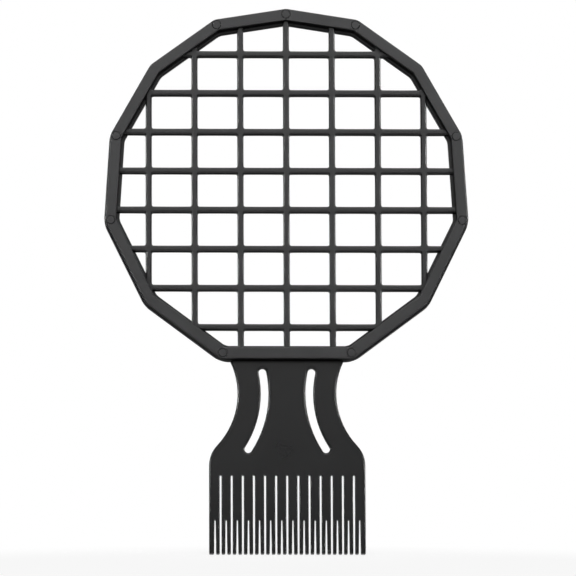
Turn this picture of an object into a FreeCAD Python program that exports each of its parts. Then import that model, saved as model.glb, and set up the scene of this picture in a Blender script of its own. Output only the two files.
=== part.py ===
import FreeCAD
import Part
import math
import os
import Sketcher

# A racket-shaped twist comb whose handle is a hair pick, standing on the tips of its teeth.
# X runs across the comb, Z up it and Y through it, with the front at -Y. The two halves of the
# ring part on the plane Y = 0, and the tips of the teeth lie at Z = 0. Sizes are millimetres.

SIZES = (
    # Pick: the flat handle that ends in teeth
    ("pick_thickness", 3.6),
    ("pick_half_width", 38.1),
    ("tooth_length", 39.0),
    ("root_to_neck", 40.5),
    ("neck_to_ring", 16.5),
    ("neck_half_width", 24.1),
    ("neck_radius", 38.0),
    ("shoulder_radius", 14.6),
    ("tip_radius", 0.6),
    # Curved slots in the handle, one each side, that follow the neck's edge
    ("slot_width", 3.75),
    ("slot_inset", 13.2),
    ("slot_reach_up", 10.5),
    ("slot_reach_down", 27.6),
    # Gaps between the teeth, and the short tapered gaps that split each tooth
    ("tooth_pitch", 5.415),
    ("gap_width", 0.86),
    ("split_length", 16.8),
    ("split_root_width", 0.52),
    ("split_mouth_width", 1.0),
    # Outline of the ring's front half: straight sides, from the foot up the right-hand side
    ("foot_half_width", 32.3),
    ("chin_side_length", 46.1),
    ("chin_side_angle", 36.9),
    ("jaw_side_length", 45.3),
    ("jaw_side_angle", 64.1),
    ("cheek_side_length", 43.6),
    ("cheek_side_angle", 93.6),
    ("ear_side_length", 40.0),
    ("ear_side_angle", 119.2),
    ("temple_side_length", 38.9),
    ("temple_side_angle", 143.9),
    ("brow_side_angle", 171.0),
    # Ring: the front half's band, and how far the rear half shows inside and outside it
    ("front_band", 5.6),
    ("front_depth", 4.5),
    ("front_corner_radius", 6.0),
    ("front_bevel", 0.45),
    ("rear_ledge", 1.4),
    ("rear_lip", 0.5),
    ("rear_depth", 4.5),
    ("rear_corner_radius", 12.0),
    ("rear_bevel", 0.8),
    # Mesh: moulded skin over a welded grid of steel wire, its bars' ends held between the halves
    ("upright_pitch", 22.5),
    ("upright_width", 3.1),
    ("cross_pitch", 19.55),
    ("cross_width", 2.95),
    ("first_cross_drop", 22.4),
    ("mesh_depth", 4.8),
    ("mesh_corner_radius", 0.8),
    ("mesh_seat", 1.2),
    ("groove_clearance", 0.1),
    ("wire_diameter", 1.6),
    ("weld_depth", 0.3),
    # Headed pins, pressed in from the front at nine corners of the ring
    ("pin_head_diameter", 4.3),
    ("pin_head_depth", 1.5),
    ("pin_shank_diameter", 2.6),
    ("pin_shank_length", 6.3),
)

doc = FreeCAD.newDocument("TwistComb")
sheet = doc.addObject("Spreadsheet::Sheet", "Sizes")
for row, (alias, value) in enumerate(SIZES, start=1):
    sheet.set(f"A{row}", alias)
    sheet.set(f"B{row}", str(value))
    sheet.setAlias(f"B{row}", alias)
doc.recompute()

SIDES = ("chin", "jaw", "cheek", "ear", "temple", "brow")
ORIGIN, V_AXIS = -1, -2
START, END, CENTRE = 1, 2, 3
ALONG_Y = FreeCAD.Rotation(FreeCAD.Vector(1, 0, 0), -90)
ALONG_X = FreeCAD.Rotation(FreeCAD.Vector(0, 1, 0), 90)
UPRIGHT_SKETCH = FreeCAD.Rotation(FreeCAD.Vector(1, 0, 0), 90)
TOLERANCE = 1e-4


def size(alias):
    return float(sheet.get(alias))


def point(x, y):
    return FreeCAD.Vector(x, y, 0)


def bind(item, **expressions):
    for name, expression in expressions.items():
        item.setExpression(name, expression)


def place(item, x, y, z, rotation=FreeCAD.Rotation()):
    item.Placement = FreeCAD.Placement(FreeCAD.Vector(0, 0, 0), rotation)
    for axis, expression in zip("xyz", (x, y, z)):
        item.setExpression(f".Placement.Base.{axis}", expression)


def dimension(sketch, kind, references, value, expression):
    index = sketch.addConstraint(Sketcher.Constraint(kind, *references, value))
    sketch.setExpression(f"Constraints[{index}]", expression)


def combine(kind, name, base, tool):
    result = doc.addObject(kind, name)
    result.Base = base
    result.Tool = tool
    return result


def fuse_all(name, items):
    result = doc.addObject("Part::MultiFuse", name)
    result.Shapes = items
    return result


def soften(kind, name, base, radius, chosen):
    """Bevels or rounds the chosen edges of a solid."""
    doc.recompute()
    result = doc.addObject(kind, name)
    result.Base = base
    edges = enumerate(base.Shape.Edges, start=1)
    result.Edges = [(number, radius, radius) for number, edge in edges if chosen(edge)]
    return result


def runs_through(edge):
    """True for a straight edge that runs from front to back."""
    first, last = edge.Vertexes[0].Point, edge.Vertexes[-1].Point
    is_long = first.distanceToPoint(last) > TOLERANCE
    return is_long and abs(first.x - last.x) < TOLERANCE and abs(first.z - last.z) < TOLERANCE


# Ring outline: a sketch of the thirteen straight sides, symmetric about the comb's middle

FOOT_HEIGHT = "Sizes.tooth_length + Sizes.root_to_neck + Sizes.neck_to_ring"
foot_height = size("tooth_length") + size("root_to_neck") + size("neck_to_ring")


def ring_corners():
    corners = [point(size("foot_half_width"), foot_height)]
    for side in SIDES[:-1]:
        angle = math.radians(size(f"{side}_side_angle"))
        length = size(f"{side}_side_length")
        corners.append(corners[-1] + point(math.cos(angle), math.sin(angle)) * length)
    last = corners[-1]
    rise = -last.x * math.tan(math.radians(size("brow_side_angle")))
    corners.append(point(0, last.y + rise))
    return corners


def ring_outline():
    sketch = doc.addObject("Sketcher::SketchObject", "RingOutline")
    sketch.Placement = FreeCAD.Placement(FreeCAD.Vector(0, 0, 0), UPRIGHT_SKETCH)
    right = ring_corners()
    left = [point(-corner.x, corner.y) for corner in reversed(right[:-1])]
    corners = right + left
    count = len(corners)
    for index, corner in enumerate(corners):
        sketch.addGeometry(Part.LineSegment(corner, corners[(index + 1) % count]))
    for index in range(count):
        sketch.addConstraint(Sketcher.Constraint("Coincident", index, END, (index + 1) % count, START))
    for index in range(len(SIDES)):
        mirror = count - 1 - index
        sketch.addConstraint(Sketcher.Constraint("Symmetric", index, START, mirror, START, V_AXIS))
    sketch.addConstraint(Sketcher.Constraint("PointOnObject", len(SIDES), START, V_AXIS))
    half = size("foot_half_width")
    dimension(sketch, "DistanceX", (ORIGIN, START, 0, START), half, "Sizes.foot_half_width")
    dimension(sketch, "DistanceY", (ORIGIN, START, 0, START), foot_height, FOOT_HEIGHT)
    for index, side in enumerate(SIDES):
        angle = math.radians(size(f"{side}_side_angle"))
        dimension(sketch, "Angle", (index,), angle, f"Sizes.{side}_side_angle * 1 deg")
    for index, side in enumerate(SIDES[:-1]):
        length = size(f"{side}_side_length")
        dimension(sketch, "Distance", (index,), length, f"Sizes.{side}_side_length")
    return sketch


def offset(name, source, distance, join="Intersection"):
    wire = doc.addObject("Part::Offset2D", name)
    wire.Source = source
    wire.Join = join
    bind(wire, Value=distance)
    return wire


def prism(name, wire, behind="0", ahead="0"):
    """A solid on a closed wire, reaching behind the parting plane (+Y) and ahead of it (-Y)."""
    solid = doc.addObject("Part::Extrusion", name)
    solid.Base = wire
    solid.DirMode = "Custom"
    solid.Dir = FreeCAD.Vector(0, 1, 0)
    solid.Solid = True
    bind(solid, LengthFwd=behind, LengthRev=ahead)
    return solid


outline = ring_outline()
doc.recompute()
ring_box = outline.Shape.BoundBox


# Headed pins: one at each corner of the ring but the temples and jaws, midway across the front band

pin_line = offset("PinLine", outline, "-Sizes.front_band / 2")
doc.recompute()


def ring_pin(name, corner):
    spot = FreeCAD.Vector(corner.x, 0, corner.y)
    seats = [vertex.Point for vertex in pin_line.Shape.Vertexes]
    seat = min(seats, key=lambda candidate: candidate.distanceToPoint(spot))
    head = doc.addObject("Part::Cylinder", f"Head_{name}")
    bind(head, Radius="Sizes.pin_head_diameter / 2", Height="Sizes.pin_head_depth")
    place(head, str(seat.x), "-Sizes.front_depth", str(seat.z), ALONG_Y)
    shank = doc.addObject("Part::Cylinder", f"Shank_{name}")
    bind(shank, Radius="Sizes.pin_shank_diameter / 2", Height="Sizes.pin_shank_length")
    place(shank, str(seat.x), "Sizes.pin_head_depth - Sizes.front_depth", str(seat.z), ALONG_Y)
    pin = combine("Part::Fuse", f"Pin_{name}", head, shank)
    pin.Label = f"ring_pin_{name}"
    return pin


chin, jaw, cheek, ear, temple, brow, crown = ring_corners()
pins = [ring_pin("crown", crown)]
for name, corner in (("brow", brow), ("ear", ear), ("cheek", cheek), ("chin", chin)):
    pins.append(ring_pin(f"{name}_left", point(-corner.x, corner.y)))
    pins.append(ring_pin(f"{name}_right", corner))
pin_set = doc.addObject("Part::Compound", "PinSet")
pin_set.Links = pins


# Mesh: uprights and cross bars as wide as the ring allows, trimmed where the ring covers their ends

def bar_places():
    """Middle of each upright, and height of each cross bar from the top down."""
    reach = ring_box.XMax - size("front_band") - size("rear_ledge") - size("upright_width")
    each_side = int(reach / size("upright_pitch"))
    uprights = [f"{index} * Sizes.upright_pitch" for index in range(-each_side, each_side + 1)]
    first = ring_box.ZMax - size("first_cross_drop")
    lowest = foot_height + size("front_band") + size("rear_ledge") + size("cross_width")
    crosses = int((first - lowest) / size("cross_pitch")) + 1
    top = f"{ring_box.ZMax} - Sizes.first_cross_drop"
    heights = [f"{top} - {index} * Sizes.cross_pitch" for index in range(crosses)]
    return uprights, heights


upright_places, cross_heights = bar_places()


def groove_bars():
    """Blocks a little wider than the bars, which cut the bars' grooves in both halves of the ring."""
    bars = []
    for number, middle in enumerate(upright_places, start=1):
        bar = doc.addObject("Part::Box", f"GrooveUpright{number}")
        width = "Sizes.upright_width + 2 * Sizes.groove_clearance"
        bind(bar, Length=width, Width="Sizes.mesh_depth")
        bar.Height = ring_box.ZLength
        place(bar, f"{middle} - ({width}) / 2", "-Sizes.mesh_depth / 2", str(ring_box.ZMin))
        bars.append(bar)
    for number, height in enumerate(cross_heights, start=1):
        bar = doc.addObject("Part::Box", f"GrooveCross{number}")
        width = "Sizes.cross_width + 2 * Sizes.groove_clearance"
        bind(bar, Width="Sizes.mesh_depth", Height=width)
        bar.Length = ring_box.XLength
        place(bar, str(ring_box.XMin), "-Sizes.mesh_depth / 2", f"{height} - ({width}) / 2")
        bars.append(bar)
    return fuse_all("GrooveBars", bars)


def cell_spans(middles, bar_width, pitch, outer):
    """Start and width of each gap along a row of bars, with an end gap each way that outruns the ring."""
    starts = [f"{middle} + {bar_width} / 2" for middle in middles]
    spans = [(start, f"{pitch} - {bar_width}") for start in starts[:-1]]
    spans.append((starts[-1], str(outer)))
    spans.append((f"{middles[0]} - {bar_width} / 2 - {outer}", str(outer)))
    return spans


def mesh_cells():
    """The open cells of the mesh, as blocks with rounded corners."""
    columns = cell_spans(upright_places, "Sizes.upright_width", "Sizes.upright_pitch", ring_box.XLength)
    rows = cell_spans(cross_heights[::-1], "Sizes.cross_width", "Sizes.cross_pitch", ring_box.ZLength)
    radius = size("mesh_corner_radius")
    unit_edges = enumerate(Part.makeBox(1, 1, 1).Edges, start=1)
    corners = [(number, radius, radius) for number, edge in unit_edges if runs_through(edge)]
    cells = []
    for left, width in columns:
        for foot, height in rows:
            block = doc.addObject("Part::Box", f"CellBlock{len(cells)}")
            bind(block, Length=width, Width="2 * Sizes.mesh_depth", Height=height)
            place(block, left, "-Sizes.mesh_depth", foot)
            cell = doc.addObject("Part::Fillet", f"Cell{len(cells)}")
            cell.Base = block
            cell.Edges = corners
            cells.append(cell)
    return cells


HALF_MESH = "Sizes.mesh_depth / 2"
mesh_end = offset("MeshEnd", outline, "Sizes.mesh_seat - Sizes.front_band")
mesh_plate = prism("MeshPlate", mesh_end, HALF_MESH, HALF_MESH)
cell_set = doc.addObject("Part::Compound", "CellSet")
cell_set.Links = mesh_cells()
mesh_bars = combine("Part::Cut", "MeshBars", mesh_plate, cell_set)
groove_end = offset("GrooveEnd", outline, "Sizes.mesh_seat + Sizes.groove_clearance - Sizes.front_band")
groove_plate = prism("GroovePlate", groove_end, HALF_MESH, HALF_MESH)
grooves = combine("Part::Common", "Grooves", groove_bars(), groove_plate)


# Wires inside the skin: uprights in front, cross wires behind, pressed into each other at the welds

LAYER = "(Sizes.wire_diameter - Sizes.weld_depth) / 2"


def wire_rods():
    uprights = []
    for number, middle in enumerate(upright_places, start=1):
        rod = doc.addObject("Part::Cylinder", f"UprightRod{number}")
        bind(rod, Radius="Sizes.wire_diameter / 2")
        rod.Height = ring_box.ZLength
        place(rod, middle, f"-{LAYER}", str(ring_box.ZMin))
        uprights.append(rod)
    crosses = []
    for number, height in enumerate(cross_heights, start=1):
        rod = doc.addObject("Part::Cylinder", f"CrossRod{number}")
        bind(rod, Radius="Sizes.wire_diameter / 2")
        rod.Height = ring_box.XLength
        place(rod, str(ring_box.XMin), LAYER, height, ALONG_X)
        crosses.append(rod)
    return uprights, crosses


upright_rods, cross_rods = wire_rods()
upright_set = doc.addObject("Part::Compound", "UprightSet")
upright_set.Links = upright_rods
wires = []
for number, rod in enumerate(upright_rods, start=1):
    wire = combine("Part::Common", f"UprightWire{number}", rod, mesh_plate)
    wire.Label = f"mesh_upright_wire_{number}"
    wires.append(wire)
for number, rod in enumerate(cross_rods, start=1):
    trimmed = combine("Part::Common", f"CrossTrimmed{number}", rod, mesh_plate)
    wire = combine("Part::Cut", f"CrossWire{number}", trimmed, upright_set)
    wire.Label = f"mesh_cross_wire_{number}"
    wires.append(wire)
wire_net = fuse_all("WireNet", upright_rods + cross_rods)
skin = combine("Part::Cut", "MeshSkin", mesh_bars, wire_net)
skin.Label = "mesh_skin"


# Front ring: a flat band with bevelled edges, grooved behind for the bars and drilled for the pins

def faces_plane(edge, depth):
    return all(abs(vertex.Y - depth) < TOLERANCE for vertex in edge.Vertexes)


front_core = offset("FrontCore", outline, "-Sizes.front_corner_radius")
front_outer = offset("FrontOuter", front_core, "Sizes.front_corner_radius", "Arc")
front_inner = offset("FrontInner", outline, "-Sizes.front_band")
front_disc = prism("FrontDisc", front_outer, ahead="Sizes.front_depth")
front_hole = prism("FrontHole", front_inner, ahead="Sizes.front_depth")
front_band = combine("Part::Cut", "FrontBand", front_disc, front_hole)
front_bevelled = soften(
    "Part::Chamfer", "FrontBevelled", front_band, size("front_bevel"),
    lambda edge: faces_plane(edge, -size("front_depth")),
)
front_grooved = combine("Part::Cut", "FrontGrooved", front_bevelled, grooves)
front_ring = combine("Part::Cut", "FrontRing", front_grooved, pin_set)
front_ring.Label = "front_ring"


# Pick: a flat moulding with a waisted neck, two curved slots and a row of split teeth

def origin_part(body, role):
    return next(item for item in body.Origin.OriginFeatures if item.Role == role)


def pick_sketch(body, name):
    sketch = body.newObject("Sketcher::SketchObject", name)
    sketch.AttachmentSupport = [(origin_part(body, "XZ_Plane"), "")]
    sketch.MapMode = "FlatFace"
    return sketch


def arc(centre, radius, start, end):
    circle = Part.Circle(centre, FreeCAD.Vector(0, 0, 1), radius)
    return Part.ArcOfCircle(circle, math.radians(start), math.radians(end))


NECK_X = "Sizes.neck_half_width + Sizes.neck_radius"
NECK_Z = "Sizes.tooth_length + Sizes.root_to_neck"
neck_x = size("neck_half_width") + size("neck_radius")
neck_centre = point(neck_x, size("tooth_length") + size("root_to_neck"))


def half_outline(body):
    """Right half of the pick: straight side, rounded shoulder, hollow neck, and a root in the ring."""
    side, shoulder, neck = size("pick_half_width"), size("shoulder_radius"), size("neck_radius")
    top = foot_height + size("front_band") / 2
    across = neck_centre.x - (side - shoulder)
    drop = math.sqrt((neck + shoulder) ** 2 - across ** 2)
    turn = math.degrees(math.atan2(drop, across))
    flare = math.degrees(math.asin((top - neck_centre.y) / neck))
    shoulder_centre = point(side - shoulder, neck_centre.y - drop)
    neck_top = neck_centre + point(-math.cos(math.radians(flare)), math.sin(math.radians(flare))) * neck
    sketch = pick_sketch(body, "HalfOutline")
    sketch.addGeometry(Part.LineSegment(point(0, 0), point(side, 0)))
    sketch.addGeometry(Part.LineSegment(point(side, 0), point(side, shoulder_centre.y)))
    sketch.addGeometry(arc(shoulder_centre, shoulder, 0, turn))
    sketch.addGeometry(arc(neck_centre, neck, 180 - flare, 180 + turn))
    sketch.addGeometry(Part.LineSegment(neck_top, point(0, top)))
    sketch.addGeometry(Part.LineSegment(point(0, top), point(0, 0)))
    for joint in (("Coincident", 0, START, ORIGIN, START), ("Horizontal", 0),
                  ("Coincident", 0, END, 1, START), ("Vertical", 1),
                  ("Tangent", 1, END, 2, START), ("Tangent", 2, END, 3, END),
                  ("Coincident", 3, START, 4, START), ("Horizontal", 4),
                  ("Coincident", 4, END, 5, START), ("Vertical", 5), ("Coincident", 5, END, 0, START)):
        sketch.addConstraint(Sketcher.Constraint(*joint))
    dimension(sketch, "DistanceX", (0, START, 0, END), side, "Sizes.pick_half_width")
    dimension(sketch, "Radius", (2,), shoulder, "Sizes.shoulder_radius")
    dimension(sketch, "Radius", (3,), neck, "Sizes.neck_radius")
    dimension(sketch, "DistanceX", (ORIGIN, START, 3, CENTRE), neck_centre.x, NECK_X)
    dimension(sketch, "DistanceY", (ORIGIN, START, 3, CENTRE), neck_centre.y, NECK_Z)
    dimension(sketch, "DistanceY", (ORIGIN, START, 4, END), top, f"{FOOT_HEIGHT} + Sizes.front_band / 2")
    return sketch


def curved_slot(body):
    """A slot with round ends, on an arc about the neck's own centre."""
    half, middle = size("slot_width") / 2, size("neck_radius") + size("slot_inset")
    up = math.degrees(math.asin(size("slot_reach_up") / middle))
    down = math.degrees(math.asin(size("slot_reach_down") / middle))
    first, last = 180 - up, 180 + down
    ends = [neck_centre + point(math.cos(math.radians(turn)), math.sin(math.radians(turn))) * middle
            for turn in (first, last)]
    sketch = pick_sketch(body, "CurvedSlot")
    sketch.addGeometry(arc(neck_centre, middle - half, first, last))
    sketch.addGeometry(arc(ends[1], half, last, last + 180))
    sketch.addGeometry(arc(neck_centre, middle + half, first, last))
    sketch.addGeometry(arc(ends[0], half, first - 180, first))
    for joint in (("Tangent", 0, END, 1, END), ("Tangent", 1, START, 2, END),
                  ("Tangent", 2, START, 3, END), ("Tangent", 3, START, 0, START), ("Equal", 1, 3)):
        sketch.addConstraint(Sketcher.Constraint(*joint))
    dimension(sketch, "DistanceX", (ORIGIN, START, 0, CENTRE), neck_centre.x, NECK_X)
    dimension(sketch, "DistanceY", (ORIGIN, START, 0, CENTRE), neck_centre.y, NECK_Z)
    inner = "Sizes.neck_radius + Sizes.slot_inset - Sizes.slot_width / 2"
    dimension(sketch, "Radius", (0,), middle - half, inner)
    dimension(sketch, "Radius", (1,), half, "Sizes.slot_width / 2")
    top, foot = f"{NECK_Z} + Sizes.slot_reach_up", f"{NECK_Z} - Sizes.slot_reach_down"
    dimension(sketch, "DistanceY", (ORIGIN, START, 3, CENTRE), ends[0].y, top)
    dimension(sketch, "DistanceY", (ORIGIN, START, 1, CENTRE), ends[1].y, foot)
    return sketch


def tooth_gap(body, name, left, length, root, mouth):
    """One gap between teeth, open at the tips and round at its root, at the left end of its row."""
    middle, root_half, mouth_half = left[0], root[0] / 2, mouth[0] / 2
    bottom = -size("tip_radius")
    crest = length[0] - root_half
    sketch = pick_sketch(body, name)
    mouth_left, mouth_right = point(middle - mouth_half, bottom), point(middle + mouth_half, bottom)
    root_left, root_right = point(middle - root_half, crest), point(middle + root_half, crest)
    sketch.addGeometry(Part.LineSegment(mouth_left, mouth_right))
    sketch.addGeometry(Part.LineSegment(mouth_right, root_right))
    sketch.addGeometry(arc(point(middle, crest), root_half, 0, 180))
    sketch.addGeometry(Part.LineSegment(root_left, mouth_left))
    for joint in (("Coincident", 0, END, 1, START), ("Coincident", 1, END, 2, START),
                  ("Coincident", 2, END, 3, START), ("Coincident", 3, END, 0, START),
                  ("Horizontal", 2, START, 2, END), ("Horizontal", 2, START, 2, CENTRE), ("Horizontal", 0)):
        sketch.addConstraint(Sketcher.Constraint(*joint))
    dimension(sketch, "DistanceX", (0, START, 0, END), 2 * mouth_half, mouth[1])
    right = f"{left[1]} + {mouth[1]} / 2"
    dimension(sketch, "DistanceX", (ORIGIN, START, 0, END), mouth_right.x, right)
    dimension(sketch, "DistanceY", (ORIGIN, START, 0, END), bottom, "-Sizes.tip_radius")
    dimension(sketch, "Radius", (2,), root_half, f"{root[1]} / 2")
    dimension(sketch, "DistanceX", (ORIGIN, START, 2, CENTRE), middle, left[1])
    dimension(sketch, "DistanceY", (ORIGIN, START, 2, CENTRE), crest, f"{length[1]} - {root[1]} / 2")
    return sketch


def cut_through(body, name, sketch):
    pocket = body.newObject("PartDesign::Pocket", name)
    pocket.Profile = sketch
    pocket.Type = "ThroughAll"
    pocket.Midplane = True
    body.Tip = pocket
    return pocket


def repeat_across(body, name, feature, count):
    row = body.newObject("PartDesign::LinearPattern", name)
    row.Originals = [feature]
    row.Direction = (origin_part(body, "X_Axis"), [""])
    row.Occurrences = count
    bind(row, Length=f"{count - 1} * Sizes.tooth_pitch")
    body.Tip = row


def sheet_pair(alias):
    return size(alias), f"Sizes.{alias}"


def pick():
    body = doc.addObject("PartDesign::Body", "Pick")
    plate = body.newObject("PartDesign::Pad", "Plate")
    plate.Profile = half_outline(body)
    plate.Reversed = True
    bind(plate, Length="Sizes.pick_thickness")
    slot = cut_through(body, "Slot", curved_slot(body))
    both = body.newObject("PartDesign::Mirrored", "BothHalves")
    both.Originals = [plate, slot]
    both.MirrorPlane = (origin_part(body, "YZ_Plane"), [""])
    body.Tip = both
    doc.recompute()
    splits = int(2 * size("pick_half_width") / size("tooth_pitch"))
    gaps = splits - 1
    gap_left = (-(gaps - 1) / 2 * size("tooth_pitch"), f"-{(gaps - 1) / 2} * Sizes.tooth_pitch")
    split_left = (-(splits - 1) / 2 * size("tooth_pitch"), f"-{(splits - 1) / 2} * Sizes.tooth_pitch")
    gap = tooth_gap(body, "ToothGap", gap_left, sheet_pair("tooth_length"),
                    sheet_pair("gap_width"), sheet_pair("gap_width"))
    repeat_across(body, "ToothGaps", cut_through(body, "ToothGapCut", gap), gaps)
    split = tooth_gap(body, "ToothSplit", split_left, sheet_pair("split_length"),
                      sheet_pair("split_root_width"), sheet_pair("split_mouth_width"))
    repeat_across(body, "ToothSplits", cut_through(body, "ToothSplitCut", split), splits)
    return body


def is_tip_edge(edge):
    return runs_through(edge) and abs(edge.Vertexes[0].Z) < TOLERANCE


pick_body = pick()
pick_tipped = soften("Part::Fillet", "PickTipped", pick_body, size("tip_radius"), is_tip_edge)


# Rear frame: the ring's rear half in one moulding with the pick, grooved and drilled like the front

rear_core = offset("RearCore", outline, "Sizes.rear_lip - Sizes.rear_corner_radius")
rear_outer = offset("RearOuter", rear_core, "Sizes.rear_corner_radius", "Arc")
rear_inner = offset("RearInner", outline, "-Sizes.front_band - Sizes.rear_ledge")
rear_disc = prism("RearDisc", rear_outer, behind="Sizes.rear_depth")
rear_hole = prism("RearHole", rear_inner, behind="Sizes.rear_depth")
rear_band = combine("Part::Cut", "RearBand", rear_disc, rear_hole)
rear_bevelled = soften(
    "Part::Chamfer", "RearBevelled", rear_band, size("rear_bevel"),
    lambda edge: faces_plane(edge, size("rear_depth")),
)
rear_moulding = combine("Part::Fuse", "RearMoulding", rear_bevelled, pick_tipped)
rear_grooved = combine("Part::Cut", "RearGrooved", rear_moulding, grooves)
rear_frame = combine("Part::Cut", "RearFrame", rear_grooved, pin_set)
rear_frame.Label = "rear_frame"


# Every piece is checked before any is written

doc.recompute()
for item in doc.Objects:
    if "Invalid" in item.State or "Error" in item.State:
        raise RuntimeError(f"{item.Name} failed: {item.State}")
pieces = [rear_frame, front_ring, skin] + wires + pins
for piece in pieces:
    shape = piece.Shape
    if shape.isNull() or not shape.isValid() or len(shape.Solids) != 1:
        raise RuntimeError(f"{piece.Label} is not one valid solid")
os.makedirs("parts", exist_ok=True)
for piece in pieces:
    piece.Shape.exportStep(f"parts/{piece.Label}.step")
    box = piece.Shape.BoundBox
    extent = f"{box.XLength:.2f} x {box.YLength:.2f} x {box.ZLength:.2f} mm"
    print(f"{piece.Label}: {extent}, {piece.Shape.Volume:.1f} mm3")
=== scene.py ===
import math

import bmesh
import bpy
from mathutils import Matrix, Vector


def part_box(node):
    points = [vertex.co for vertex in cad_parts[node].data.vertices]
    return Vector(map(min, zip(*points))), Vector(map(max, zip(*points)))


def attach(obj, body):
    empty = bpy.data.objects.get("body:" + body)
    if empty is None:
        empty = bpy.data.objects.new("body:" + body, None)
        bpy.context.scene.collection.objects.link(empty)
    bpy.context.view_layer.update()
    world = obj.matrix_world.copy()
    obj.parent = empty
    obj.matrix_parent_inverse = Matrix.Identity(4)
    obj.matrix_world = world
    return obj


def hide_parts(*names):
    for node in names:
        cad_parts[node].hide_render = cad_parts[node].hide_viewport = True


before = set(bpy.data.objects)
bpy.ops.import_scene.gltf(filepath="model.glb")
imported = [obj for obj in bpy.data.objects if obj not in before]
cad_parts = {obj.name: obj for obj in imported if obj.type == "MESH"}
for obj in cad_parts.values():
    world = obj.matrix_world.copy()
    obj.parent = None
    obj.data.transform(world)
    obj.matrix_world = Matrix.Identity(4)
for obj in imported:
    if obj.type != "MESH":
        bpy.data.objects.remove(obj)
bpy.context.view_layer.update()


# Rear frame: the rear half of the ring, the waisted handle and the split pick teeth, one injection
# moulding of black ABS. The mould leaves a smooth, slightly uneven face, and every edge of the
# handle, its slots and its teeth is rounded so that it slips through hair.

MM = 0.001
MERGE = 1e-6
PICK_TOP = 95.4 * MM
PICK_ROOT = 2.1 * MM
PICK_BACK = 3.6 * MM
HANDLE_EDGE = 1.0 * MM
TOOTH_EDGE = 0.5 * MM
TOOTH_TOP = 39 * MM
EDGE_FADE = 6 * MM
WALL_LEAN = 0.5
ROUND_STEPS = 4
FOOT_CORNER = Vector((32.3, 0, 96.0)) * MM
# Each side's length in mm and its direction in degrees, from the foot up to the brow.
RIGHT_SIDES = ((46.1, 36.9), (45.3, 64.1), (43.6, 93.6), (40.0, 119.2), (38.9, 143.9))
BROW_ANGLE = 171.0
REAR_LIP = 0.485 * MM
REAR_BAND = 7.5 * MM
REAR_CORNER = 12 * MM
REAR_BACK = 4.5 * MM
REAR_EDGE = 0.9 * MM
PARTING_EDGE = 0.3 * MM
CORNER_STEPS = 8
RIM_ANGLE = math.radians(60)
SHARP_ANGLE = math.radians(35)
CLOUD_STOPS = (0.25, 0.75)
ABS_IOR = 1.54


def linear(hex_colour):
    """Linear colour of an sRGB hex value."""
    parts = [int(hex_colour[start:start + 2], 16) / 255 for start in (0, 2, 4)]
    return [part / 12.92 if part <= 0.04045 else ((part + 0.055) / 1.055) ** 2.4 for part in parts] + [1]


def node(tree, kind, settings=(), at=(), **inputs):
    """Adds a shader node. Its inputs go by name, or by number in at: sockets are linked, values set."""
    made = tree.nodes.new(kind)
    for name, value in dict(settings).items():
        setattr(made, name, value)
    named = {name.replace("_", " "): value for name, value in inputs.items()}
    for key, value in {**named, **dict(at)}.items():
        if isinstance(value, bpy.types.NodeSocket):
            tree.links.new(value, made.inputs[key])
        else:
            made.inputs[key].default_value = value
    return made


def new_material(name):
    """An empty material, its nodes and its Object coordinates."""
    material = bpy.data.materials.new(name)
    material.use_nodes = True
    tree = material.node_tree
    tree.nodes.clear()
    return material, tree, node(tree, "ShaderNodeTexCoord").outputs["Object"]


def moulded_plastic(name, dark, light, flow_mm, wave_mm, grain_mm, rough, wave_depth, grain_depth):
    """Black moulded plastic: faint flow clouds in colour and gloss, a slow waviness and a mould grain."""
    material, tree, place = new_material(name)
    flow = node(tree, "ShaderNodeTexNoise", Vector=place, Scale=1 / (flow_mm * MM), Detail=3,
                Distortion=0.6)
    cloud = node(tree, "ShaderNodeValToRGB", Fac=flow.outputs["Fac"])
    cloud.color_ramp.interpolation = "EASE"
    for stop, position, colour in zip(cloud.color_ramp.elements, CLOUD_STOPS, (dark, light)):
        stop.position, stop.color = position, linear(colour)
    gloss = node(tree, "ShaderNodeMapRange", {"interpolation_type": "SMOOTHSTEP"},
                 Value=flow.outputs["Fac"], From_Min=0.15, From_Max=0.85, To_Min=rough[0], To_Max=rough[1])
    wave = node(tree, "ShaderNodeTexNoise", Vector=place, Scale=1 / (wave_mm * MM), Detail=1)
    # A real mould grain is too fine to show here, so it is drawn as coarse as it needs to show.
    grain = node(tree, "ShaderNodeTexNoise", Vector=place, Scale=1 / (grain_mm * MM), Detail=2)
    waved = node(tree, "ShaderNodeBump", Height=wave.outputs["Fac"], Strength=1,
                 Distance=wave_depth * MM)
    grained = node(tree, "ShaderNodeBump", Height=grain.outputs["Fac"], Strength=1,
                   Distance=grain_depth * MM, Normal=waved.outputs["Normal"])
    shader = node(tree, "ShaderNodeBsdfPrincipled", Base_Color=cloud.outputs["Color"],
                  Roughness=gloss.outputs["Result"], Normal=grained.outputs["Normal"], IOR=ABS_IOR)
    node(tree, "ShaderNodeOutputMaterial", Surface=shader.outputs["BSDF"])
    return material


def edge_radius(spot):
    """Full on the handle, and less on the teeth, which are narrow."""
    share = min(max((spot.z - TOOTH_TOP) / EDGE_FADE, 0), 1)
    return TOOTH_EDGE + (HANDLE_EDGE - TOOTH_EDGE) * share


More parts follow.
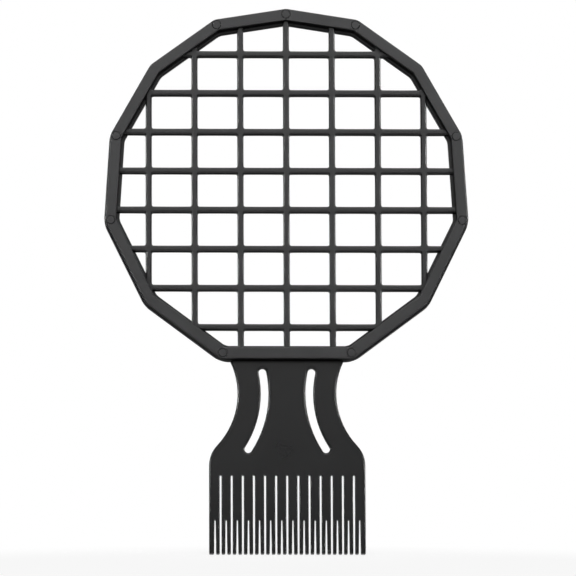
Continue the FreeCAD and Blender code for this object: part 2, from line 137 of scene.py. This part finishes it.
def round_faces(mesh, depth):
    """Rounds the rim of the flat face at one depth: it sinks and is drawn out again in small steps."""
    flat = [face for face in mesh.faces if all(abs(vert.co.y - depth) < MERGE for vert in face.verts)]
    inward = -flat[0].normal
    rim = {}
    for vert in {vert for face in flat for vert in face.verts}:
        walls = [face.normal for face in vert.link_faces if abs(face.normal.y) < WALL_LEAN]
        pairs = [(one, two) for one in walls for two in walls]
        first, last = min(pairs, key=lambda pair: pair[0].dot(pair[1]), default=(Vector(), Vector()))
        radius = edge_radius(vert.co)
        inset = (first + last) * (-radius / (1 + first.dot(last)))
        rim[vert] = (vert.co.copy(), inset, inward * radius)
    for step in range(ROUND_STEPS + 1):
        if step:
            before = {tuple(vert.co): track for vert, track in rim.items()}
            made = bmesh.ops.extrude_face_region(mesh, geom=flat)["geom"]
            bmesh.ops.delete(mesh, geom=flat, context="FACES")
            flat = [item for item in made if isinstance(item, bmesh.types.BMFace)]
            rim = {item: before[tuple(item.co)] for item in made if isinstance(item, bmesh.types.BMVert)}
        turn = math.radians(90) * step / ROUND_STEPS
        for vert, (start, inset, sink) in rim.items():
            vert.co = start + inset * (1 - math.cos(turn)) + sink * (1 - math.sin(turn))
    kept = set(flat)
    for edge in {edge for face in kept for edge in face.edges}:
        edge.smooth = all(face in kept for face in edge.link_faces)


def raised(mesh, faces, vec, keep):
    """Extrudes faces by a vector, and keeps them as the far cap or not. Gives the faces that moved."""
    made = bmesh.ops.extrude_face_region(mesh, geom=faces)["geom"]
    if not keep:
        bmesh.ops.delete(mesh, geom=faces, context="FACES")
    moved = [item for item in made if isinstance(item, bmesh.types.BMVert)]
    bmesh.ops.translate(mesh, verts=moved, vec=vec)
    return [item for item in made if isinstance(item, bmesh.types.BMFace)]


def rounded(mesh, geometry, width, steps, affect="EDGES"):
    """Rounds edges, or the corners of a face."""
    bmesh.ops.bevel(mesh, geom=geometry, affect=affect, offset=width, segments=steps, profile=0.5,
                    material=-1)


def ring_corners():
    """The ring's thirteen corners, up the right-hand side from foot to crown and down the left."""
    right = [FOOT_CORNER.copy()]
    for length, angle in RIGHT_SIDES:
        turn = math.radians(angle)
        right.append(right[-1] + Vector((math.cos(turn), 0, math.sin(turn))) * length * MM)
    brow = right[-1]
    crown = Vector((0, 0, brow.z - brow.x * math.tan(math.radians(BROW_ANGLE))))
    return right + [crown] + [Vector((-corner.x, 0, corner.z)) for corner in reversed(right)]


def ring_sides():
    """Each side's first corner and its outward direction."""
    corners = ring_corners()
    sides = []
    for start, end in zip(corners[-1:] + corners[:-1], corners):
        run = (end - start).normalized()
        sides.append((start, Vector((run.z, 0, -run.x))))
    return sides


def ring_band(outset, band, corner_radius, front, back, front_edge, back_edge):
    """A flat band round the ring: a face with rounded corners, inset, opened, thickened and edged."""
    mesh = bmesh.new()
    sides = ring_sides()
    turns = []
    for (corner, after), (_, before) in zip(sides[1:] + sides[:1], sides):
        meet = (before + after) / (1 + before.dot(after))
        spot = corner + meet * outset + Vector((0, front, 0))
        turns.append((mesh.verts.new(spot), before.angle(after)))
    mesh.faces.new([vert for vert, turn in turns])
    for vert, turn in turns:
        rounded(mesh, [vert], corner_radius * math.tan(turn / 2), CORNER_STEPS, affect="VERTICES")
    disc = mesh.faces[:][0]
    bmesh.ops.inset_region(mesh, faces=[disc], thickness=band, use_even_offset=True, use_boundary=True)
    bmesh.ops.delete(mesh, geom=[disc], context="FACES")
    raised(mesh, mesh.faces[:], (0, back - front, 0), keep=True)
    bmesh.ops.recalc_face_normals(mesh, faces=mesh.faces)
    for depth, radius in ((front, front_edge), (back, back_edge)):
        rims = [edge for edge in mesh.edges if edge.calc_face_angle(0) > RIM_ANGLE
                and all(abs(vert.co.y - depth) < MERGE for vert in edge.verts)]
        rounded(mesh, rims, radius, ROUND_STEPS)
    return mesh


def add_piece(name, mesh, material, slot, *nodes):
    """Makes an object of a finished mesh and puts it in place of its CAD nodes."""
    for face in mesh.faces:
        face.smooth = True
    for edge in mesh.edges:
        edge.smooth = edge.smooth and edge.calc_face_angle(0) < SHARP_ANGLE
    data = bpy.data.meshes.new(name)
    mesh.to_mesh(data)
    mesh.free()
    data.materials.append(material)
    piece = bpy.data.objects.new(name, data)
    bpy.context.scene.collection.objects.link(piece)
    shading = piece.modifiers.new("flat faces stay flat", "WEIGHTED_NORMAL")
    shading.keep_sharp = True
    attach(piece, "root")
    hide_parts(*nodes)
    return piece


smooth_abs = moulded_plastic("smooth moulded ABS", "101011", "141415", flow_mm=34, wave_mm=16,
                             grain_mm=0.9, rough=(0.26, 0.34), wave_depth=0.04, grain_depth=0.004)
pick = bmesh.new()
pick.from_mesh(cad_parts["rear_frame"].data)
bmesh.ops.remove_doubles(pick, verts=pick.verts, dist=MERGE)
bmesh.ops.bisect_plane(pick, geom=pick.verts[:] + pick.edges[:] + pick.faces[:], dist=MERGE,
                       plane_co=(0, 0, PICK_TOP), plane_no=(0, 0, 1), clear_outer=True)
cut_rim = [edge for edge in pick.edges if edge.is_boundary]
cut_face = bmesh.ops.edgeloop_fill(pick, edges=cut_rim)["faces"]
raised(pick, cut_face, (0, 0, PICK_ROOT), keep=False)
round_faces(pick, 0)
round_faces(pick, PICK_BACK)
handle = bpy.data.meshes.new("handle")
pick.to_mesh(handle)
pick.free()
moulding = ring_band(REAR_LIP, REAR_BAND, REAR_CORNER, 0, REAR_BACK, PARTING_EDGE, REAR_EDGE)
moulding.from_mesh(handle)
add_piece("rear_moulding", moulding, smooth_abs, "frame_plastic", "rear_frame")


# Mesh wires: seven uprights and eight cross wires of drawn steel, spot welded where they cross.
# Drawing leaves them a dull, faintly uneven grey. They lie inside the skin, which hides them all
# along.

WIRE_GRAIN = 0.6 * MM
drawn_steel, tree, place = new_material("drawn steel wire")
grain = node(tree, "ShaderNodeTexNoise", Vector=place, Scale=1 / WIRE_GRAIN, Detail=2)
tone = node(tree, "ShaderNodeValToRGB", Fac=grain.outputs["Fac"])
for stop, colour in zip(tone.color_ramp.elements, ("8f8f8d", "a8a8a6")):
    stop.color = linear(colour)
steel = node(tree, "ShaderNodeBsdfPrincipled", Base_Color=tone.outputs["Color"], Metallic=1,
             Roughness=0.35)
node(tree, "ShaderNodeOutputMaterial", Surface=steel.outputs["BSDF"])
uprights = [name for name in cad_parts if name.startswith("mesh_upright_wire")]
crosses = [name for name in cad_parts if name.startswith("mesh_cross_wire")]
for name in uprights + crosses:
    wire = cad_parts[name].data
    wire.materials.clear()
    wire.materials.append(drawn_steel)


# Mesh skin: a black satin coating moulded round the wires. Its bars have rounded edges, are a little
# slimmer half way between crossings, and run into small fillets where they cross.

UPRIGHT_WIDTH = 3.1 * MM
CROSS_WIDTH = 2.95 * MM
BAR_WAIST = 0.06 * MM
WAIST_START = 0.1
CROSSING_FILLET = 0.8 * MM
BAR_EDGE = 0.85 * MM
BAR_SEAT = 4.4 * MM
REACH = 120 * MM
TO_FRONT = Matrix.Rotation(math.radians(90), 4, "X")


def middles(names, axis):
    """Where a row of wires lies along one axis, in order."""
    boxes = [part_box(name) for name in names]
    return sorted((low[axis] + high[axis]) / 2 for low, high in boxes)


upright_row, cross_row = middles(uprights, 0), middles(crosses, 2)
bars = ((0, upright_row, UPRIGHT_WIDTH), (2, cross_row, CROSS_WIDTH))


def nearest(value, row):
    """The bar of a row that lies nearest."""
    return min(row, key=lambda spot: abs(spot - value))


def cut_everywhere(mesh, point, normal, **clear):
    """Cuts a whole mesh along a plane."""
    geometry = mesh.verts[:] + mesh.edges[:] + mesh.faces[:]
    bmesh.ops.bisect_plane(mesh, geom=geometry, plane_co=point, plane_no=normal, dist=MERGE, **clear)


def in_cell(face):
    """True for a face between the bars."""
    centre = face.calc_center_median()
    return all(abs(centre[axis] - nearest(centre[axis], row)) > width / 2 + MERGE
               for axis, row, width in bars)


def along_bar_side(edge):
    """True for an edge inside the net that lies on the line of a bar's side."""
    if len(edge.link_faces) != 2:
        return False
    for axis, row, width in bars:
        first, last = (vert.co[axis] for vert in edge.verts)
        side = abs(abs(first - nearest(first, row)) - width / 2)
        if abs(first - last) < MERGE and side < MERGE:
            return True
    return False


def at_end(edge):
    """True for an edge on a bar's cut end, inside the ring."""
    return any(all(abs((vert.co - point).dot(outward) + BAR_SEAT) < 10 * MERGE for vert in edge.verts)
               for point, outward in ring_sides())


def depth_run(edge):
    """How far an edge runs from front to back."""
    return abs(edge.verts[0].co.y - edge.verts[1].co.y)


skin_low, skin_high = (Vector(corner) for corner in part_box("mesh_skin"))
net = bmesh.new()
skin_middle = Matrix.Translation((0, skin_low.y, (skin_low.z + skin_high.z) / 2))
bmesh.ops.create_grid(net, x_segments=1, y_segments=1, size=REACH, matrix=skin_middle @ TO_FRONT)
for axis, row, width in bars:
    normal = Vector((1, 0, 0)) if axis == 0 else Vector((0, 0, 1))
    pitch = row[1] - row[0]
    for spot in row:
        for cut in (spot - width / 2, spot + width / 2, spot + pitch / 2):
            cut_everywhere(net, normal * cut, normal)
    cut_everywhere(net, normal * (row[0] - pitch / 2), normal)
bmesh.ops.delete(net, geom=[face for face in net.faces if in_cell(face)], context="FACES")
inner_lines = [edge for edge in net.edges if along_bar_side(edge)]
bmesh.ops.dissolve_edges(net, edges=inner_lines, use_verts=False)
for point, outward in ring_sides():
    cut_everywhere(net, point - outward * BAR_SEAT, outward, clear_outer=True)
open_sides = [edge for edge in net.edges if edge.is_boundary and not at_end(edge)]
bmesh.ops.subdivide_edges(net, edges=open_sides, cuts=3)
for vert in net.verts:
    for (axis, row, width), (across, crossing, _) in zip(bars, reversed(bars)):
        spot = nearest(vert.co[axis], row)
        if abs(abs(vert.co[axis] - spot) - width / 2) < MERGE:
            half_pitch = (crossing[1] - crossing[0]) / 2
            share = min(abs(vert.co[across] - nearest(vert.co[across], crossing)) / half_pitch, 1)
            pull = BAR_WAIST * (1 - (1 - share) ** 2) * (share > WAIST_START)
            vert.co[axis] += math.copysign(pull, spot - vert.co[axis])
            break
raised(net, net.faces[:], (0, skin_high.y - skin_low.y, 0), keep=True)
bmesh.ops.recalc_face_normals(net, faces=net.faces)
crossing_corners = [edge for edge in net.edges if depth_run(edge) > BAR_EDGE and not edge.is_convex
                    and edge.calc_face_angle(0) > RIM_ANGLE]
rounded(net, crossing_corners, CROSSING_FILLET, ROUND_STEPS)
bar_rims = [edge for edge in net.edges if depth_run(edge) < MERGE and not at_end(edge)
            and edge.calc_face_angle(0) > RIM_ANGLE]
rounded(net, bar_rims, BAR_EDGE, ROUND_STEPS)
satin_coating = moulded_plastic("satin moulded coating", "262627", "2e2e2f", flow_mm=22, wave_mm=9,
                                grain_mm=0.8, rough=(0.28, 0.36), wave_depth=0.03, grain_depth=0.008)
add_piece("mesh_coating", net, satin_coating, "mesh_coating", "mesh_skin")


# Front ring: a thirteen-sided band of black ABS that clamps the bars' ends against the rear half.
# Its mould is lightly etched, so the face is satin, with soft clouds where the plastic flowed.

FRONT_BAND = 5.6 * MM
FRONT_CORNER = 6 * MM
FRONT_FACE = -4.5 * MM
FRONT_EDGE = 0.6 * MM
PIN_HOLE = 4.5 * MM
HOLE_DEPTH = 1.6 * MM
ROUND_SIDES = 48

pin_names = [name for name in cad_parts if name.startswith("ring_pin")]


def pin_spot(name):
    """The middle of a pin's head, on the ring's front face."""
    low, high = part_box(name)
    return Vector(((low[0] + high[0]) / 2, low[1], (low[2] + high[2]) / 2))


def front_disc(mesh, spot, diameter):
    """A round face that looks out of the front of the ring."""
    made = bmesh.ops.create_circle(mesh, cap_ends=True, segments=ROUND_SIDES, radius=diameter / 2,
                                   matrix=Matrix.Translation(spot) @ TO_FRONT)
    return list({face for vert in made["verts"] for face in vert.link_faces})


satin_abs = moulded_plastic("satin moulded ABS", "333334", "3c3c3d", flow_mm=18, wave_mm=14,
                            grain_mm=0.8, rough=(0.34, 0.46), wave_depth=0.10, grain_depth=0.008)
front = ring_band(0, FRONT_BAND, FRONT_CORNER, FRONT_FACE, 0, FRONT_EDGE, PARTING_EDGE)
ring = add_piece("front_band", front, satin_abs, "ring_plastic", "front_ring")
drill = bmesh.new()
for name in pin_names:
    mouth = front_disc(drill, pin_spot(name) - Vector((0, FRONT_EDGE, 0)), PIN_HOLE)
    raised(drill, mouth, (0, FRONT_EDGE + HOLE_DEPTH, 0), keep=True)
bmesh.ops.recalc_face_normals(drill, faces=drill.faces)
drill_data = bpy.data.meshes.new("drill")
drill.to_mesh(drill_data)
drill.free()
drill_piece = bpy.data.objects.new("drill", drill_data)
bpy.context.scene.collection.objects.link(drill_piece)
# The holes go in before the shading modifier. At some hole sizes, such as 4.6 and 4.7 mm, this cut
# leaves nothing of the ring.
holes = ring.modifiers.new("pin holes", "BOOLEAN")
holes.object, holes.operation, holes.solver = drill_piece, "DIFFERENCE", "EXACT"
ring.modifiers.move(1, 0)
drilled = bpy.data.meshes.new_from_object(ring.evaluated_get(bpy.context.evaluated_depsgraph_get()))
ring.modifiers.remove(holes)
ring.data = drilled
bpy.data.objects.remove(drill_piece)


# Ring pins: nine headed pins of the same ABS, pressed in from the front so that their heads finish
# flush with the band and show only as faint round marks.

PIN_HEAD = 4.1 * MM
PIN_SHANK = 2.6 * MM
PIN_HEAD_DEPTH = 1.5 * MM
PIN_SHANK_LENGTH = 6.3 * MM
PIN_RIM = 0.3 * MM
PIN_RIM_STEPS = 3
pin_abs = moulded_plastic("satin moulded ABS pins", "333334", "3b3b3c", flow_mm=6, wave_mm=5,
                          grain_mm=0.8, rough=(0.36, 0.44), wave_depth=0.02, grain_depth=0.008)
for name in pin_names:
    pin = bmesh.new()
    head = front_disc(pin, pin_spot(name), PIN_HEAD)
    shoulder = raised(pin, head, (0, PIN_HEAD_DEPTH, 0), keep=True)
    bmesh.ops.inset_region(pin, faces=shoulder, thickness=(PIN_HEAD - PIN_SHANK) / 2,
                           use_even_offset=True)
    raised(pin, shoulder, (0, PIN_SHANK_LENGTH, 0), keep=False)
    bmesh.ops.recalc_face_normals(pin, faces=pin.faces)
    rim = [edge for edge in pin.edges if all(abs(vert.co.y - FRONT_FACE) < MERGE for vert in edge.verts)]
    rounded(pin, rim, PIN_RIM, PIN_RIM_STEPS)
    add_piece(name.replace("ring_pin", "headed_pin"), pin, pin_abs, "pin_plastic", name)


# Studio: a white paper sweep that falls away towards the viewer and fades to white, two large soft
# lights in front, four small ones at the sides that draw the edges, and a weak one behind. Reflections
# see the white in a narrow cone behind the comb, along the line of sight, and a dim room elsewhere.

FLOOR_TILT = math.radians(15)
FLOOR_DROP = 1 * MM
FLOOR_BACK = 70 * MM
FLOOR_FRONT = 250 * MM
FLOOR_HALF = 300 * MM
FLOOR_GLOW = 0.88
FADE_START, FADE_END = 0.58, 0.97
CARD_INNER, CARD_OUTER = math.cos(math.radians(8)), math.cos(math.radians(14))
CARD_AXIS = (0.026, 0.98, 0.199)
ROOM = 0.04
WHITE = (1, 1, 1, 1)
CLAMPED_SUM = {"operation": "ADD", "use_clamp": True}


def ray_kinds(tree):
    """Two sockets of 0 or 1: one for camera rays, and one for glossy and transmission rays."""
    path = node(tree, "ShaderNodeLightPath").outputs
    mirrored = node(tree, "ShaderNodeMath", CLAMPED_SUM,
                    at={0: path["Is Glossy Ray"], 1: path["Is Transmission Ray"]})
    return path["Is Camera Ray"], mirrored.outputs["Value"]


sweep = bmesh.new()
slope = Matrix.Translation((0, 0, -FLOOR_DROP)) @ Matrix.Rotation(FLOOR_TILT, 4, "X")
floor_middle, floor_reach = (FLOOR_BACK - FLOOR_FRONT) / 2, (FLOOR_BACK + FLOOR_FRONT) / 2
bmesh.ops.create_grid(sweep, x_segments=1, y_segments=1, size=1,
                      matrix=slope @ Matrix.Translation((0, floor_middle, 0))
                      @ Matrix.Diagonal((FLOOR_HALF, floor_reach, 1, 1)))
floor_data = bpy.data.meshes.new("floor")
sweep.to_mesh(floor_data)
sweep.free()
floor = bpy.data.objects.new("floor", floor_data)
bpy.context.scene.collection.objects.link(floor)

white_paper, tree, place = new_material("white paper sweep")
span = node(tree, "ShaderNodeVectorMath", {"operation": "MULTIPLY_ADD"}, at={
    0: place,
    1: (1 / FLOOR_HALF, 1 / (floor_reach * math.cos(FLOOR_TILT)), 0),
    2: (0, -floor_middle / floor_reach, 0)})
reach = node(tree, "ShaderNodeVectorMath", {"operation": "LENGTH"}, at={0: span.outputs["Vector"]})
fade = node(tree, "ShaderNodeMapRange", {"interpolation_type": "SMOOTHSTEP"},
            Value=reach.outputs["Value"], From_Min=FADE_START, From_Max=FADE_END)
glow = node(tree, "ShaderNodeEmission", Color=WHITE, Strength=FLOOR_GLOW)
paper = node(tree, "ShaderNodeBsdfDiffuse", Color=linear("616161"))
lit = node(tree, "ShaderNodeAddShader", at={0: glow.outputs["Emission"], 1: paper.outputs["BSDF"]})
far = node(tree, "ShaderNodeEmission", Color=WHITE, Strength=1)
white = node(tree, "ShaderNodeMixShader",
             at={0: fade.outputs["Result"], 1: lit.outputs["Shader"], 2: far.outputs["Emission"]})
shade = node(tree, "ShaderNodeBsdfDiffuse", Color=linear("303030"))
camera_ray, mirrored_ray = ray_kinds(tree)
background_ray = node(tree, "ShaderNodeMath", CLAMPED_SUM, at={0: camera_ray, 1: mirrored_ray})
shown = node(tree, "ShaderNodeMixShader",
             at={0: background_ray.outputs["Value"], 1: shade.outputs["BSDF"], 2: white.outputs["Shader"]})
node(tree, "ShaderNodeOutputMaterial", Surface=shown.outputs["Shader"])
floor_data.materials.append(white_paper)

world = bpy.data.worlds.new("white studio")
world.use_nodes = True
tree = world.node_tree
tree.nodes.clear()
direction = node(tree, "ShaderNodeTexCoord").outputs["Generated"]
towards = node(tree, "ShaderNodeVectorMath", {"operation": "DOT_PRODUCT"}, at={0: direction, 1: CARD_AXIS})
card = node(tree, "ShaderNodeMapRange", Value=towards.outputs["Value"], From_Min=CARD_OUTER,
            From_Max=CARD_INNER, To_Min=ROOM, To_Max=1)
room = node(tree, "ShaderNodeBackground", Color=WHITE, Strength=ROOM)
behind = node(tree, "ShaderNodeBackground", Color=WHITE, Strength=card.outputs["Result"])
white = node(tree, "ShaderNodeBackground", Color=WHITE, Strength=1)
camera_ray, mirrored_ray = ray_kinds(tree)
unseen = node(tree, "ShaderNodeMixShader",
              at={0: mirrored_ray, 1: room.outputs["Background"], 2: behind.outputs["Background"]})
shown = node(tree, "ShaderNodeMixShader",
             at={0: camera_ray, 1: unseen.outputs["Shader"], 2: white.outputs["Background"]})
node(tree, "ShaderNodeOutputWorld", Surface=shown.outputs["Shader"])
bpy.context.scene.world = world


def facing(direction):
    """The turn of a lamp or camera that looks in a direction."""
    return direction.to_track_quat("-Z", "Y").to_matrix().to_4x4()


def soft_light(name, place, aim, width, height, watts, spread=180):
    """A rectangular lamp at one spot, aimed at another, both in metres."""
    lamp = bpy.data.lights.new(name, "AREA")
    lamp.shape = "RECTANGLE"
    lamp.size, lamp.size_y = width, height
    lamp.energy = watts
    lamp.spread = math.radians(spread)
    stand = bpy.data.objects.new(name, lamp)
    stand.matrix_world = Matrix.Translation(place) @ facing(Vector(aim) - Vector(place))
    bpy.context.scene.collection.objects.link(stand)


soft_light("front", (0, -1.18, 0.5), (0, 0, 0.2), width=0.9, height=0.45, watts=1.12)
soft_light("high front", (0, -0.95, 1.1), (0, 0, 0.16), width=1.0, height=0.8, watts=7)
for side, sign in (("left", -1), ("right", 1)):
    soft_light(side + " low", (sign * 0.6, -0.45, 0.2), (sign * 0.02, 0, 0.04),
               width=0.12, height=0.06, watts=0.0085, spread=6)
    soft_light(side + " side", (sign * 0.63, -0.45, 0.34), (sign * 0.085, 0, 0.19),
               width=0.12, height=0.22, watts=0.048, spread=8)
soft_light("back", (0, 1.0, 0.9), (0, 0, 0.14), width=0.9, height=0.9, watts=3)


# Camera: a long lens far off, 11.5 degrees below the comb's middle and a little to its left, so that
# the undersides of the bars and of the ring's upper sides show.

AIM = Vector((0.7, 1.8, 132.25)) * MM
DISTANCE = 4000 * MM
FRAME_WIDTH = 282.0 * MM
BELOW, TO_LEFT, ROLL = math.radians(11.5), math.radians(1.5), math.radians(-0.2)
lens = bpy.data.cameras.new("camera")
lens.sensor_width = 36
lens.lens = lens.sensor_width * DISTANCE / FRAME_WIDTH
lens.clip_end = 20
level = math.cos(BELOW)
away = Vector((-math.sin(TO_LEFT) * level, -math.cos(TO_LEFT) * level, -math.sin(BELOW)))
camera = bpy.data.objects.new("camera", lens)
camera.matrix_world = (Matrix.Translation(AIM + away * DISTANCE) @ facing(-away)
                       @ Matrix.Rotation(ROLL, 4, "Z"))
bpy.context.scene.collection.objects.link(camera)
bpy.context.scene.camera = camera
bpy.context.scene.view_settings.view_transform = "Standard"
